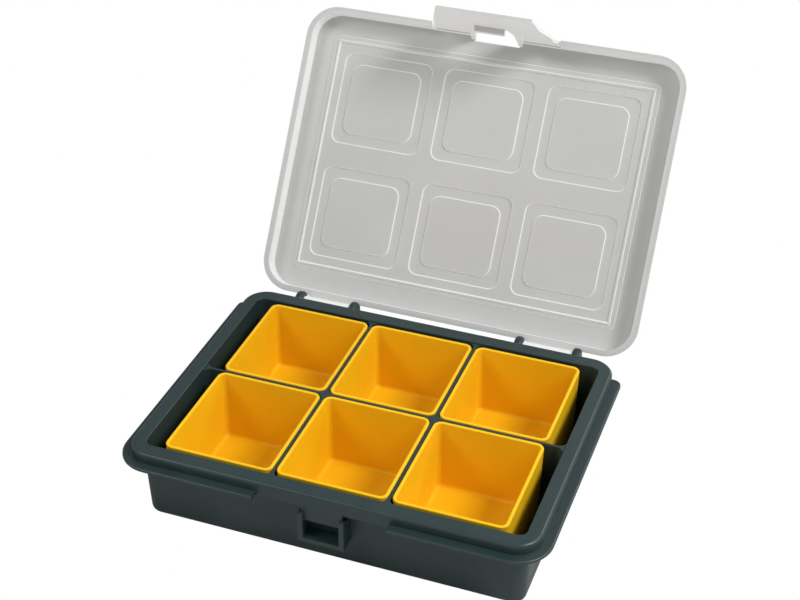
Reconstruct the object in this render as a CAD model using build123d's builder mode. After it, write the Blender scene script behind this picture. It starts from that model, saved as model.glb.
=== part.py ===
"""Compartment organizer: a moulded tray with six lift-out bins, a hinged lid and its latch flap.

Millimetres, +Z up, +X right, -Y towards the latch. The origin is the centre of the tray's
underside. The tray and bins stand as in use; the lid stands open on its stop.
"""
import os
from build123d import *

# bins
columns = 3
rows = 2
bin_width = 53.0
bin_length = 61.0
bin_height = 38.4
bin_wall = 1.6
bin_floor = 1.6
bin_draft = 1.6
bin_corner_radius = 4.0
bin_foot_radius = 2.6
bin_edge_radius = 0.5

# room left around the bins in the tray
column_gap = 2.0
row_gap = 2.2
side_gap = 8.65
end_gap = 2.0
rest_gap = 0.15

# tray
wall = 2.0
floor = 2.0
tray_draft = 1.2
foot_radius = 4.0
divider_thickness = 1.2
divider_drop = 0.9
pocket_corner_radius = 4.0
pocket_draft = 0.8
cavity_edge_radius = 0.5
bin_drop = 0.45
rim_width_sides = 6.9
rim_width_ends = 7.6
rim_corner_radius = 12.0
rim_edge_radius = 1.5
rim_depth = 7.2
flange_reach = 4.7
flange_thickness = 2.2
flange_edge_radius = 0.8
flange_edge_chamfer = 1.0
flange_end_inset = 7.4
flange_end_radius = 4.5
flange_gap_width = 63.0

# catch at the middle of the front
catch_width = 21.8
catch_rib = 2.3
catch_reach = 1.8
catch_foot_depth = 26.0
catch_top_drop = 3.0
catch_plate_depth = 7.4

# lid, described as it lies closed over the tray
lid_thickness = 1.6
lid_side_room = 1.35
lid_rise = 3.7
skirt_gap = 0.3
foot_bead = 1.5
foot_bead_height = 2.0
lid_edge_radius = 2.2
ridge_length = 170.3
ridge_width = 119.8
ridge_thickness = 1.6
ridge_height = 1.0
ridge_band_width = 3.0
ridge_band_height = 0.4
ridge_band_radius = 3.5
pad_pitch_x = 55.8
pad_pitch_y = 60.9
pad_width = 49.0
pad_length = 48.5
inner_pad_width = 37.5
inner_pad_length = 36.5
pad_groove_depth = 0.7
pad_corner_radius = 5.0
lid_step_angle = 32.0

# hinge between lid and tray
hinge_behind_flange = 3.8
hinge_drop = 9.45
lug_radius = 5.8
lug_thickness = 4.0
lug_web_height = 11.0
lug_edge_radius = 1.4
lug_pair_middle = 59.6
lug_pair_pitch = 29.8
pin_radius = 2.0
pin_clearance = 0.05
pin_length = 3.4
hinge_end_gap = 0.3
barrel_radius = 3.6
heel_reach = 6.4
heel_thickness = 2.2
lid_open_angle = 123.3

# latch flap
flap_thickness = 1.6
flap_width_root = 68.0
flap_flange_gap = 0.4
flap_width_end = 51.0
flap_taper_start = 27.0
flap_end_above_base = 7.3
flap_kick = 2.2
flap_corner_radius = 2.0
flap_catch_gap = 0.6
flap_kick_start = 14.7
flap_side_gap = 0.3
flap_hinge_gap = 0.15
flap_hinge_inset = 0.1
flap_rest_angle = 3.0
window_width_root = 24.2
window_width_end = 18.2
window_into_plate = 2.6
lip_reach = 3.1
lip_gap = 1.3
lip_height = 2.6
lip_side_gap = 0.6
lip_root = 0.8
lip_nose = 0.5
gusset_reach = 3.2
gusset_thickness = 1.6
gusset_gap = 0.5

# how close two heights are taken as equal when an edge or face is looked up
tiny = 0.01

# sizes that follow from the ones above
column_pitch = bin_width + column_gap
row_pitch = bin_length + row_gap
opening_x = columns * bin_width + (columns - 1) * column_gap + 2 * side_gap
opening_y = rows * bin_length + (rows - 1) * row_gap + 2 * end_gap
rim_x = opening_x + 2 * rim_width_sides
rim_y = opening_y + 2 * rim_width_ends
rim_top = floor + rest_gap + bin_height + bin_drop
rim_foot = rim_top - rim_depth
flange_top = rim_foot + flange_thickness
flange_x = rim_x + 2 * flange_reach
flange_y = rim_y + 2 * flange_reach
body_x = opening_x + 2 * wall
body_y = opening_y + 2 * wall
body_corner_radius = pocket_corner_radius + wall
catch_front = -rim_y / 2 - catch_reach
catch_foot = rim_top - catch_foot_depth
catch_plate_foot = rim_foot - catch_plate_depth
flange_end = rim_y / 2 - flange_end_inset
divider_top = rim_top - divider_drop

plate_under = rim_top + lid_rise
plate_top = plate_under + lid_thickness
plate_inside = Plane(origin=(0, 0, plate_under), x_dir=(1, 0, 0), z_dir=(0, 0, -1))
skirt_foot = flange_top + skirt_gap
skirt_inner_x = rim_x + 2 * lid_side_room
skirt_inner_y = rim_y + 2 * lid_side_room
skirt_x = skirt_inner_x + 2 * lid_thickness
skirt_y = skirt_inner_y + 2 * lid_thickness
skirt_inner_radius = rim_corner_radius + lid_side_room
skirt_radius = skirt_inner_radius + lid_thickness

hinge_y = flange_y / 2 + hinge_behind_flange
hinge_z = rim_top - hinge_drop
hinge_axis = Axis((0, hinge_y, hinge_z), (1, 0, 0))

flap_inner_y = catch_front - flap_catch_gap
flap_outer_y = flap_inner_y - flap_thickness
flap_hinge_y = flap_inner_y + flap_hinge_inset
flap_hinge_z = plate_under + lid_thickness / 2
flap_axis = Axis((0, flap_hinge_y, flap_hinge_z), (1, 0, 0))
flap_mount_y = flap_hinge_y + lid_thickness / 2 + flap_hinge_gap
flap_width_neck = flange_gap_width - 2 * flap_flange_gap
lip_top = catch_plate_foot - lip_gap
lip_width = catch_width - 2 * catch_rib - 2 * lip_side_gap
flap_view_depth = 2 * (flap_thickness + flap_kick + gusset_reach)


# rounded end of a hinge lug
with BuildPart() as lug_disc:
    with BuildSketch(Plane.YZ.offset(-lug_thickness / 2)):
        Circle(lug_radius)
    extrude(amount=lug_thickness)
    fillet(lug_disc.edges(), lug_edge_radius)


# tray: one moulding with walls, floor, dividers, rim, flange, catch and hinge lugs
with BuildPart() as base_tray:
    with BuildSketch(Plane.XY):
        RectangleRounded(body_x - 2 * tray_draft, body_y - 2 * tray_draft, body_corner_radius)
    with BuildSketch(Plane.XY.offset(rim_top - rim_edge_radius)):
        RectangleRounded(body_x, body_y, body_corner_radius)
    loft()
    fillet(base_tray.faces().sort_by(Axis.Z)[0].edges(), foot_radius)

    with BuildSketch(Plane.XY.offset(rim_foot)):
        RectangleRounded(rim_x, rim_y, rim_corner_radius)
    extrude(amount=rim_depth)
    fillet(base_tray.faces().sort_by(Axis.Z)[-1].edges(), rim_edge_radius)
    with BuildSketch(Plane.XY.offset(rim_foot)):
        RectangleRounded(rim_x - 2 * wall, rim_y - 2 * wall, rim_corner_radius - wall)
        RectangleRounded(body_x, body_y, body_corner_radius, mode=Mode.SUBTRACT)
    extrude(amount=rim_depth - wall, mode=Mode.SUBTRACT)

    with BuildSketch(Plane.XY.offset(rim_foot)):
        RectangleRounded(flange_x, flange_y, rim_corner_radius + flange_reach)
        RectangleRounded(rim_x - wall, rim_y - wall, rim_corner_radius - wall / 2, mode=Mode.SUBTRACT)
    extrude(amount=flange_thickness)
    flange_face = base_tray.faces().filter_by(lambda f: abs(f.center().Z - flange_top) < tiny)[0]
    fillet(flange_face.outer_wire().edges(), flange_edge_radius)
    flange_under = base_tray.faces().filter_by(lambda f: abs(f.center().Z - rim_foot) < tiny)[0]
    chamfer(flange_under.outer_wire().edges(), flange_edge_chamfer)
    with BuildSketch(Plane.XY.offset(rim_foot)):
        with Locations((0, -rim_y / 2 - flange_reach)):
            Rectangle(flange_gap_width, 2 * flange_reach)
    extrude(amount=flange_thickness, mode=Mode.SUBTRACT)

    # the flange leaves the two back corners free and ends rounded on each side
    corner_size = rim_corner_radius + 2 * flange_reach
    corner_x = rim_x / 2 - rim_corner_radius + corner_size / 2
    corner_y = rim_y / 2 - rim_corner_radius - flange_reach + corner_size / 2
    with BuildSketch(Plane.XY.offset(rim_foot)):
        with Locations((corner_x, corner_y), (-corner_x, corner_y)):
            Rectangle(corner_size, corner_size)
        RectangleRounded(flange_x, 2 * flange_end, flange_end_radius, mode=Mode.SUBTRACT)
        RectangleRounded(rim_x, rim_y, rim_corner_radius, mode=Mode.SUBTRACT)
    extrude(amount=flange_thickness, mode=Mode.SUBTRACT)

    # the pockets leave the dividers standing between them, thicker towards the floor
    for row in range(rows):
        for column in range(columns):
            left = (column - columns / 2) * column_pitch + divider_thickness / 2
            right = left + column_pitch - divider_thickness
            front = (row - rows / 2) * row_pitch + divider_thickness / 2
            back = front + row_pitch - divider_thickness
            if column == 0:
                left = -opening_x / 2
            if column == columns - 1:
                right = opening_x / 2
            if row == 0:
                front = -opening_y / 2
            if row == rows - 1:
                back = opening_y / 2
            pocket_middle = ((left + right) / 2, (front + back) / 2)
            with BuildSketch(Plane.XY.offset(floor)):
                with Locations(pocket_middle):
                    RectangleRounded(
                        right - left - 2 * pocket_draft,
                        back - front - 2 * pocket_draft,
                        pocket_corner_radius - pocket_draft,
                    )
            with BuildSketch(Plane.XY.offset(divider_top)):
                with Locations(pocket_middle):
                    RectangleRounded(right - left, back - front, pocket_corner_radius)
            loft(mode=Mode.SUBTRACT)
    with BuildSketch(Plane.XY.offset(divider_top)):
        RectangleRounded(opening_x, opening_y, pocket_corner_radius)
    extrude(amount=divider_drop, mode=Mode.SUBTRACT)
    rim_face = base_tray.faces().filter_by(Axis.Z).sort_by(Axis.Z)[-1]
    fillet(rim_face.inner_wires()[0].edges(), cavity_edge_radius)

    catch_depth = abs(catch_front) - body_y / 2 + wall / 2
    catch_middle = catch_front + catch_depth / 2
    rib_offset = (catch_width - catch_rib) / 2
    with BuildSketch(Plane.XY.offset(catch_foot)):
        with Locations((-rib_offset, catch_middle), (rib_offset, catch_middle)):
            Rectangle(catch_rib, catch_depth)
    extrude(amount=rim_foot - catch_top_drop - catch_foot)
    with BuildSketch(Plane.XY.offset(catch_foot)):
        with Locations((0, catch_middle)):
            Rectangle(catch_width, catch_depth)
    extrude(amount=catch_rib)
    with BuildSketch(Plane.XY.offset(catch_plate_foot)):
        with Locations((0, wall / 2 - rim_y / 2)):
            Rectangle(catch_width - catch_rib, wall)
    extrude(amount=catch_plate_depth)

    web_foot = rim_foot - lug_web_height
    lug_offsets = [
        side * lug_pair_middle + end * lug_pair_pitch / 2 for side in (-1, 1) for end in (-1, 1)
    ]
    for offset in lug_offsets:
        with BuildSketch(Plane.YZ.offset(offset - lug_thickness / 2)):
            with BuildLine():
                Polyline(
                    (body_y / 2 - wall / 2, flange_top - rest_gap),
                    (flange_y / 2 - flange_edge_radius, flange_top - rest_gap),
                    (hinge_y, hinge_z),
                    (hinge_y, hinge_z - lug_radius),
                    (body_y / 2 - wall / 2, web_foot),
                    close=True,
                )
            make_face()
        extrude(amount=lug_thickness)
        with Locations((offset, hinge_y, hinge_z)):
            add(lug_disc.part)
    with BuildSketch(Plane.YZ.offset(-rim_x / 2)):
        with Locations((hinge_y, hinge_z)):
            Circle(pin_radius + pin_clearance)
    extrude(amount=rim_x, mode=Mode.SUBTRACT)


# one bin, made once and set down in each compartment
with BuildPart() as bin_shell:
    with BuildSketch(Plane.XY):
        RectangleRounded(bin_width - bin_draft, bin_length - bin_draft, bin_corner_radius)
    with BuildSketch(Plane.XY.offset(bin_height)):
        RectangleRounded(bin_width, bin_length, bin_corner_radius)
    loft()
    fillet(bin_shell.faces().sort_by(Axis.Z)[0].edges(), bin_foot_radius)
    with BuildSketch(Plane.XY.offset(bin_floor)):
        RectangleRounded(
            bin_width - bin_draft - 2 * bin_wall,
            bin_length - bin_draft - 2 * bin_wall,
            bin_corner_radius - bin_wall,
        )
    with BuildSketch(Plane.XY.offset(bin_height)):
        RectangleRounded(bin_width - 2 * bin_wall, bin_length - 2 * bin_wall, bin_corner_radius - bin_wall)
    loft(mode=Mode.SUBTRACT)
    inner_floor = bin_shell.faces().filter_by(lambda f: abs(f.center().Z - bin_floor) < tiny)
    fillet(inner_floor.edges(), bin_foot_radius - bin_wall / 2)
    fillet(bin_shell.faces().sort_by(Axis.Z)[-1].edges(), bin_edge_radius)

bins = {}
row_names = ["front", "rear"]
column_names = ["left", "middle", "right"]
for row in range(rows):
    for column in range(columns):
        name = f"bin_{row_names[row]}_{column_names[column]}"
        with BuildPart() as placed_bin:
            with Locations(
                (
                    (column - (columns - 1) / 2) * column_pitch,
                    (row - (rows - 1) / 2) * row_pitch,
                    floor + rest_gap,
                )
            ):
                add(bin_shell.part)
        bins[name] = placed_bin.part


# lid: plate with stepped pads, skirt, ridge and two hinge barrels, made closed and turned open
barrel_length = lug_pair_pitch - lug_thickness - 2 * hinge_end_gap
with BuildPart() as lid:
    with BuildSketch(Plane.XY.offset(skirt_foot)):
        RectangleRounded(skirt_x, skirt_y, skirt_radius)
    extrude(amount=plate_top - skirt_foot)
    fillet(lid.faces().sort_by(Axis.Z)[-1].edges(), lid_edge_radius)
    with BuildSketch(Plane.XY.offset(skirt_foot)):
        RectangleRounded(skirt_x + 2 * foot_bead, skirt_y + 2 * foot_bead, skirt_radius + foot_bead)
    extrude(amount=foot_bead_height)
    with BuildSketch(Plane.XY.offset(skirt_foot)):
        RectangleRounded(skirt_inner_x, skirt_inner_y, skirt_inner_radius)
    extrude(amount=plate_under - skirt_foot, mode=Mode.SUBTRACT)

    # seen from inside: a band with a ridge along it, then one sloped groove round each pad
    with BuildSketch(plate_inside):
        RectangleRounded(
            ridge_length + 2 * ridge_band_width, ridge_width + 2 * ridge_band_width, ridge_band_radius
        )
        Rectangle(ridge_length, ridge_width, mode=Mode.SUBTRACT)
    extrude(amount=ridge_band_height, taper=lid_step_angle)
    with BuildSketch(plate_inside):
        Rectangle(ridge_length + ridge_thickness, ridge_width + ridge_thickness)
        Rectangle(ridge_length - ridge_thickness, ridge_width - ridge_thickness, mode=Mode.SUBTRACT)
    extrude(amount=ridge_height, taper=lid_step_angle)
    with BuildSketch(Plane.XY.offset(plate_top)):
        with GridLocations(pad_pitch_x, pad_pitch_y, columns, rows):
            RectangleRounded(pad_width, pad_length, pad_corner_radius)
            RectangleRounded(inner_pad_width, inner_pad_length, pad_corner_radius, mode=Mode.SUBTRACT)
    extrude(amount=pad_groove_depth, taper=lid_step_angle)
    with BuildSketch(Plane.XY.offset(plate_under)):
        with GridLocations(pad_pitch_x, pad_pitch_y, columns, rows):
            RectangleRounded(pad_width, pad_length, pad_corner_radius)
            RectangleRounded(inner_pad_width, inner_pad_length, pad_corner_radius, mode=Mode.SUBTRACT)
    extrude(amount=pad_groove_depth, taper=lid_step_angle, mode=Mode.SUBTRACT)

    with BuildSketch(Plane.XY.offset(skirt_foot)):
        with Locations((0, flap_mount_y - skirt_y / 2)):
            Rectangle(flap_width_root + 2 * flap_side_gap, skirt_y)
    extrude(amount=plate_top - skirt_foot, mode=Mode.SUBTRACT)
    with BuildSketch(Plane.XY.offset(plate_under)):
        with Locations((0, flap_mount_y)):
            Rectangle(window_width_root, 2 * window_into_plate)
    extrude(amount=lid_thickness, mode=Mode.SUBTRACT)

    for side in (-1, 1):
        barrel_start = side * lug_pair_middle - barrel_length / 2
        with BuildSketch(Plane.YZ.offset(barrel_start)):
            with BuildLine():
                Polyline(
                    (skirt_y / 2 - lid_thickness / 2, skirt_foot),
                    (skirt_y / 2 - lid_thickness / 2, plate_under - lid_thickness),
                    (skirt_y / 2 + foot_bead, plate_under - lid_thickness),
                    (hinge_y + barrel_radius, hinge_z),
                    (hinge_y - barrel_radius, hinge_z),
                    (flange_y / 2 + hinge_end_gap, skirt_foot),
                    close=True,
                )
            make_face()
            with Locations((hinge_y, hinge_z)):
                Circle(barrel_radius)
        extrude(amount=barrel_length)
        with BuildSketch(Plane.YZ.offset(barrel_start - pin_length)):
            with Locations((hinge_y, hinge_z)):
                Circle(pin_radius)
        extrude(amount=barrel_length + 2 * pin_length)

    # the heel below each barrel meets the flange from below when the lid is fully open
    turn_shut = Location((0, hinge_y, hinge_z), (lid_open_angle, 0, 0)) * Location((0, -hinge_y, -hinge_z))
    heel_top = rim_foot - rest_gap
    for side in (-1, 1):
        heel_plane = Plane.YZ.offset(side * lug_pair_middle - barrel_length / 2)
        with BuildSketch(heel_plane, mode=Mode.PRIVATE) as heel_side:
            with BuildLine():
                Polyline(
                    (hinge_y, heel_top),
                    (hinge_y - heel_reach, heel_top),
                    (hinge_y - heel_reach, heel_top - heel_thickness),
                    (hinge_y, hinge_z - barrel_radius),
                    close=True,
                )
            make_face()
        heel = extrude(heel_side.sketch, amount=barrel_length, mode=Mode.PRIVATE)
        add(turn_shut * heel)


# latch flap: panel with a window, kicked out at its end, with a lip that hooks under the catch plate
with BuildPart() as latch_flap:
    with BuildSketch(Plane.YZ.offset(-flap_width_root / 2)):
        with BuildLine():
            Polyline(
                (flap_hinge_y, plate_top),
                (flap_outer_y + flap_thickness / 2, plate_top),
                (flap_outer_y, plate_top - flap_thickness / 2),
                (flap_outer_y, flap_kick_start),
                (flap_outer_y - flap_kick, flap_end_above_base),
                (flap_inner_y - flap_kick, flap_end_above_base),
                (flap_inner_y, flap_kick_start),
                (flap_inner_y, plate_under),
                (flap_hinge_y, plate_under),
                close=True,
            )
        make_face()
        with Locations((flap_hinge_y, flap_hinge_z)):
            Circle(lid_thickness / 2)
    extrude(amount=flap_width_root)
    with BuildSketch(Plane.YZ.offset(-lip_width / 2)):
        with BuildLine():
            Polyline(
                (flap_inner_y - lip_root, lip_top),
                (flap_inner_y + lip_reach, lip_top),
                (flap_inner_y + lip_reach - lip_nose, lip_top - lip_height / 2),
                (flap_inner_y - lip_root, lip_top - lip_height),
                close=True,
            )
        make_face()
    extrude(amount=lip_width)
    gusset_width = window_width_root + 2 * gusset_thickness
    with BuildSketch(Plane.YZ.offset(-gusset_width / 2)):
        with BuildLine():
            Polyline(
                (flap_inner_y - flap_thickness / 2, rim_foot + gusset_gap),
                (flap_inner_y, rim_foot + gusset_gap),
                (flap_inner_y + gusset_reach, plate_under - gusset_gap),
                (flap_inner_y - flap_thickness / 2, plate_under - gusset_gap),
                close=True,
            )
        make_face()
    extrude(amount=gusset_width)
    with BuildSketch(Plane.XZ.offset(-flap_inner_y - flap_view_depth / 2)) as flap_front:
        with BuildLine():
            Polyline(
                (-flap_width_root / 2, plate_top),
                (-flap_width_root / 2, skirt_foot + lid_thickness),
                (-flap_width_neck / 2, skirt_foot),
                (-flap_width_neck / 2, flap_taper_start),
                (-flap_width_end / 2, flap_end_above_base),
                (flap_width_end / 2, flap_end_above_base),
                (flap_width_neck / 2, flap_taper_start),
                (flap_width_neck / 2, skirt_foot),
                (flap_width_root / 2, skirt_foot + lid_thickness),
                (flap_width_root / 2, plate_top),
                close=True,
            )
        make_face()
        end_corners = flap_front.vertices().group_by(Axis.Y)[0]
        fillet(end_corners, flap_corner_radius)
        with BuildLine():
            Polyline(
                (-window_width_root / 2, plate_top),
                (-window_width_end / 2, lip_top),
                (window_width_end / 2, lip_top),
                (window_width_root / 2, plate_top),
                close=True,
            )
        make_face(mode=Mode.SUBTRACT)
    extrude(amount=flap_view_depth, mode=Mode.INTERSECT)

open_lid = lid.part.rotate(hinge_axis, -lid_open_angle)
open_flap = latch_flap.part.rotate(flap_axis, -flap_rest_angle).rotate(hinge_axis, -lid_open_angle)

solids = {"base_tray": base_tray.part, **bins, "lid": open_lid, "latch_flap": open_flap}
os.makedirs("parts", exist_ok=True)
for name, solid in solids.items():
    solid.label = name
    export_step(solid, f"parts/{name}.step")
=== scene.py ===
import math
import bpy
from mathutils import Matrix, Vector

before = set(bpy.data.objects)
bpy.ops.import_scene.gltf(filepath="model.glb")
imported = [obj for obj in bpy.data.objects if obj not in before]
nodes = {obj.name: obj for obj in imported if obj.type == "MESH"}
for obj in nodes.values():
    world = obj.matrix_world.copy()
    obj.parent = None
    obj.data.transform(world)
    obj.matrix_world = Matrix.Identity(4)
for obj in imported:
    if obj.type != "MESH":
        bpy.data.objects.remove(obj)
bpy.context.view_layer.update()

scene = bpy.context.scene
white_colour = (1, 1, 1, 1)


# helpers for the materials
def new_material(name):
    mat = bpy.data.materials.new(name)
    mat.use_nodes = True
    tree = mat.node_tree
    tree.nodes.clear()
    out = tree.nodes.new("ShaderNodeOutputMaterial")
    shader = tree.nodes.new("ShaderNodeBsdfPrincipled")
    tree.links.new(shader.outputs["BSDF"], out.inputs["Surface"])
    coords = tree.nodes.new("ShaderNodeTexCoord")
    return mat, tree, shader, coords


def noise(tree, coords, scale, detail=2.0, roughness=0.55, stretch=(1, 1, 1)):
    mapping = tree.nodes.new("ShaderNodeMapping")
    mapping.inputs["Scale"].default_value = stretch
    tree.links.new(coords.outputs["Object"], mapping.inputs["Vector"])
    tex = tree.nodes.new("ShaderNodeTexNoise")
    tex.inputs["Scale"].default_value = scale
    tex.inputs["Detail"].default_value = detail
    tex.inputs["Roughness"].default_value = roughness
    tree.links.new(mapping.outputs["Vector"], tex.inputs["Vector"])
    return tex.outputs["Fac"]


def spread(tree, value, low, high, start=0.35, end=0.65):
    node = tree.nodes.new("ShaderNodeMapRange")
    node.inputs["From Min"].default_value = start
    node.inputs["From Max"].default_value = end
    node.inputs["To Min"].default_value = low
    node.inputs["To Max"].default_value = high
    tree.links.new(value, node.inputs["Value"])
    return node.outputs["Result"]


# places on the noise where the dark, middle and light colour of a plastic stand
dark_place = 0.25
middle_place = 0.55
light_place = 0.80


def clouded_colour(tree, shader, cloud, dark, middle, light):
    node = tree.nodes.new("ShaderNodeValToRGB")
    stops = node.color_ramp.elements
    stops[0].position = dark_place
    stops[0].color = (*dark, 1)
    stops[1].position = light_place
    stops[1].color = (*light, 1)
    stops.new(middle_place).color = (*middle, 1)
    tree.links.new(cloud, node.inputs["Fac"])
    tree.links.new(node.outputs["Color"], shader.inputs["Base Color"])


# metres that the grain and the shallow waves of a moulded face stand out
grain_depth = 0.0003


def moulded_face(tree, shader, coords, grain_scale, wave_scale, wave_share, strength):
    grain = noise(tree, coords, grain_scale)
    wave = noise(tree, coords, wave_scale)
    mix = tree.nodes.new("ShaderNodeMix")
    mix.data_type = "FLOAT"
    mix.inputs["Factor"].default_value = wave_share
    tree.links.new(grain, mix.inputs["A"])
    tree.links.new(wave, mix.inputs["B"])
    bump = tree.nodes.new("ShaderNodeBump")
    bump.inputs["Strength"].default_value = strength
    bump.inputs["Distance"].default_value = grain_depth
    tree.links.new(mix.outputs["Result"], bump.inputs["Height"])
    tree.links.new(bump.outputs["Normal"], shader.inputs["Normal"])


# dark green-grey plastic of the tray
def tray_plastic():
    mat, tree, shader, coords = new_material("tray_plastic")
    cloud = noise(tree, coords, scale=26.0, detail=4.0)
    clouded_colour(
        tree, shader, cloud, (0.013, 0.028, 0.029), (0.016, 0.033, 0.034), (0.019, 0.037, 0.038)
    )
    scuff = noise(tree, coords, scale=70.0, detail=6.0, roughness=0.7, stretch=(1.0, 0.25, 1.0))
    tree.links.new(spread(tree, scuff, low=0.34, high=0.50), shader.inputs["Roughness"])
    shader.inputs["Specular IOR Level"].default_value = 0.5
    moulded_face(tree, shader, coords, grain_scale=2600.0, wave_scale=60.0, wave_share=0.35, strength=0.16)
    return mat


# amber plastic of the bins
def bin_plastic():
    mat, tree, shader, coords = new_material("bin_plastic")
    cloud = noise(tree, coords, scale=22.0, detail=3.0)
    clouded_colour(tree, shader, cloud, (0.81, 0.46, 0.005), (0.85, 0.49, 0.006), (0.88, 0.51, 0.008))
    flow = noise(tree, coords, scale=40.0, detail=5.0, roughness=0.6, stretch=(1.0, 1.0, 0.15))
    tree.links.new(spread(tree, flow, low=0.42, high=0.56), shader.inputs["Roughness"])
    shader.inputs["Specular IOR Level"].default_value = 0.3
    moulded_face(tree, shader, coords, grain_scale=1900.0, wave_scale=45.0, wave_share=0.5, strength=0.10)
    return mat


# the lid's plate faces this way at rest, when the lid stands open on its stop
lid_open_angle = math.radians(123.3)
plate_normal = (0.0, -math.sin(lid_open_angle), -math.cos(lid_open_angle))
flat_from_cosine = 0.97
steep_to_cosine = 0.80
edge_glow = 0.28


# a small glow on the walls and slopes of the lid and none on its flat plate,
# in place of the light that clear plastic gathers in its edges
def glow_on_slopes(tree, shader, coords):
    along = tree.nodes.new("ShaderNodeVectorMath")
    along.operation = "DOT_PRODUCT"
    along.inputs[1].default_value = plate_normal
    tree.links.new(coords.outputs["Normal"], along.inputs[0])
    size = tree.nodes.new("ShaderNodeMath")
    size.operation = "ABSOLUTE"
    tree.links.new(along.outputs["Value"], size.inputs[0])
    slope = spread(tree, size.outputs["Value"], 1.0, 0.0, steep_to_cosine, flat_from_cosine)
    glow = tree.nodes.new("ShaderNodeMath")
    glow.operation = "MULTIPLY"
    glow.inputs[1].default_value = edge_glow
    tree.links.new(slope, glow.inputs[0])
    shader.inputs["Emission Color"].default_value = white_colour
    tree.links.new(glow.outputs["Value"], shader.inputs["Emission Strength"])


# milky plastic of the lid and its latch flap
def lid_plastic():
    mat, tree, shader, coords = new_material("lid_plastic")
    cloud = noise(tree, coords, scale=16.0, detail=4.0)
    clouded_colour(tree, shader, cloud, (0.54, 0.545, 0.535), (0.57, 0.575, 0.565), (0.60, 0.605, 0.595))
    frost = noise(tree, coords, scale=55.0, detail=5.0, roughness=0.65)
    tree.links.new(spread(tree, frost, low=0.34, high=0.48), shader.inputs["Roughness"])
    shader.inputs["Transmission Weight"].default_value = 0.15
    shader.inputs["IOR"].default_value = 1.35
    shader.inputs["Alpha"].default_value = 0.93
    glow_on_slopes(tree, shader, coords)
    moulded_face(tree, shader, coords, grain_scale=2200.0, wave_scale=30.0, wave_share=0.5, strength=0.10)
    return mat


def dress_nodes():
    tray_look = tray_plastic()
    bin_look = bin_plastic()
    lid_look = lid_plastic()
    for name, node in nodes.items():
        look = lid_look
        if name == "base_tray":
            look = tray_look
        if name.startswith("bin_"):
            look = bin_look
        node.data.materials.clear()
        node.data.materials.append(look)


# floor and background, plain white to the camera and greyer to the light that bounces
floor_reach = 3.0
floor_grey = (0.55, 0.55, 0.55, 1)
background_strength = 0.36


# 1 for rays from the camera and for rays let through by the lid, otherwise 0
def white_rays(tree):
    path = tree.nodes.new("ShaderNodeLightPath")
    either = tree.nodes.new("ShaderNodeMath")
    either.operation = "MAXIMUM"
    tree.links.new(path.outputs["Is Camera Ray"], either.inputs[0])
    tree.links.new(path.outputs["Is Transmission Ray"], either.inputs[1])
    return either.outputs["Value"]


def white_or(tree, other, white, out):
    mix = tree.nodes.new("ShaderNodeMixShader")
    tree.links.new(white_rays(tree), mix.inputs["Fac"])
    tree.links.new(other, mix.inputs[1])
    tree.links.new(white, mix.inputs[2])
    tree.links.new(mix.outputs["Shader"], out.inputs["Surface"])


def floor_material():
    mat = bpy.data.materials.new("floor_paper")
    mat.use_nodes = True
    tree = mat.node_tree
    tree.nodes.clear()
    out = tree.nodes.new("ShaderNodeOutputMaterial")
    paper = tree.nodes.new("ShaderNodeBsdfDiffuse")
    paper.inputs["Color"].default_value = floor_grey
    white = tree.nodes.new("ShaderNodeEmission")
    white.inputs["Color"].default_value = white_colour
    white.inputs["Strength"].default_value = 1.0
    white_or(tree, paper.outputs["BSDF"], white.outputs["Emission"], out)
    return mat


def make_floor():
    corners = [(x * floor_reach, y * floor_reach, 0) for x, y in ((-1, -1), (1, -1), (1, 1), (-1, 1))]
    mesh = bpy.data.meshes.new("floor")
    mesh.from_pydata(corners, [], [(0, 1, 2, 3)])
    floor = bpy.data.objects.new("floor", mesh)
    floor.data.materials.append(floor_material())
    scene.collection.objects.link(floor)


def background(tree, strength):
    node = tree.nodes.new("ShaderNodeBackground")
    node.inputs["Color"].default_value = white_colour
    node.inputs["Strength"].default_value = strength
    return node.outputs["Background"]


def make_world():
    world = bpy.data.worlds.new("studio")
    scene.world = world
    world.use_nodes = True
    tree = world.node_tree
    tree.nodes.clear()
    out = tree.nodes.new("ShaderNodeOutputWorld")
    white_or(tree, background(tree, background_strength), background(tree, 1.0), out)


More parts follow.
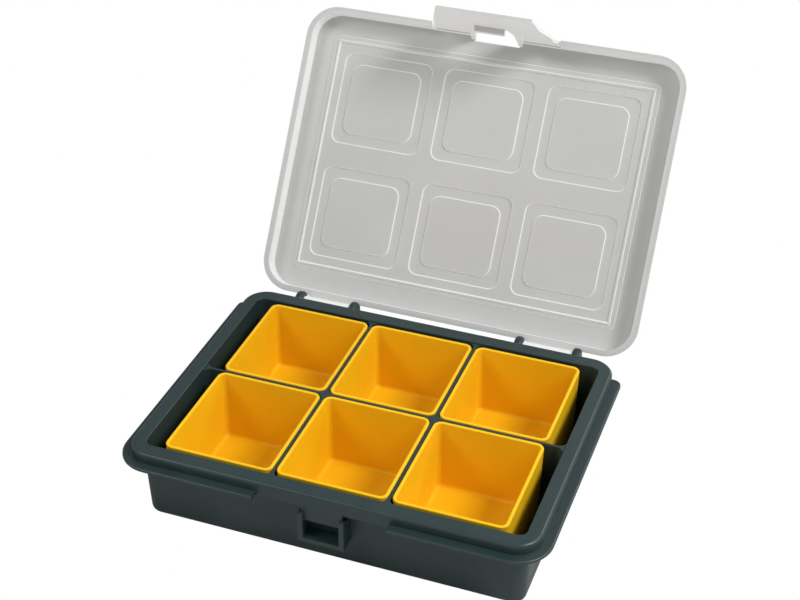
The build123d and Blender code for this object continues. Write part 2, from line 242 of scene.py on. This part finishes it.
# square softboxes, each turned to its target; places in metres, strength in watts
def softbox(name, place, target, side, watts):
    data = bpy.data.lights.new(name, "AREA")
    data.shape = "RECTANGLE"
    data.size = side
    data.size_y = side
    data.energy = watts
    lamp = bpy.data.objects.new(name, data)
    scene.collection.objects.link(lamp)
    lamp.location = place
    lamp.rotation_mode = "QUATERNION"
    lamp.rotation_quaternion = (Vector(target) - Vector(place)).to_track_quat("-Z", "Y")


# camera at the photograph's viewing angle, its lens set for a frame of 800 by 600 pixels, a frame size
# this script does not set
frame_width_px = 800.0
focal_px = 1589.66
sensor_width = 36.0
near_clip = 0.05
far_clip = 20.0
camera_place = Vector((0.21136, -0.55573, 0.49486))
azimuth = math.radians(19.908)
elevation = math.radians(33.596)
roll = math.radians(0.28)


def make_camera():
    away = math.cos(elevation)
    back = Vector((math.sin(azimuth) * away, -math.cos(azimuth) * away, math.sin(elevation)))
    right = Vector((0, 0, 1)).cross(back).normalized()
    up = back.cross(right)
    rolled_right = right * math.cos(roll) + up * math.sin(roll)
    rolled_up = up * math.cos(roll) - right * math.sin(roll)
    data = bpy.data.cameras.new("camera")
    data.sensor_width = sensor_width
    data.lens = focal_px / frame_width_px * sensor_width
    data.clip_start = near_clip
    data.clip_end = far_clip
    camera = bpy.data.objects.new("camera", data)
    scene.collection.objects.link(camera)
    turn = Matrix((rolled_right, rolled_up, back)).transposed().to_4x4()
    camera.matrix_world = Matrix.Translation(camera_place) @ turn
    scene.camera = camera


dress_nodes()
make_floor()
make_world()
softbox("key_right", place=(0.95, -0.05, 1.15), target=(0.0, 0.0, 0.03), side=0.40, watts=16.0)
softbox("key_left", place=(-0.75, -0.55, 1.00), target=(0.0, 0.0, 0.03), side=0.45, watts=5.0)
softbox("rear_gloss", place=(0.75, 1.35, 1.15), target=(0.10, 0.0, 0.03), side=0.7, watts=10.0)
softbox("fill", place=(0.2, -1.6, 0.5), target=(0.0, 0.0, 0.05), side=0.9, watts=2.0)
make_camera()
scene.view_settings.view_transform = "Standard"

bpy.context.view_layer.update()
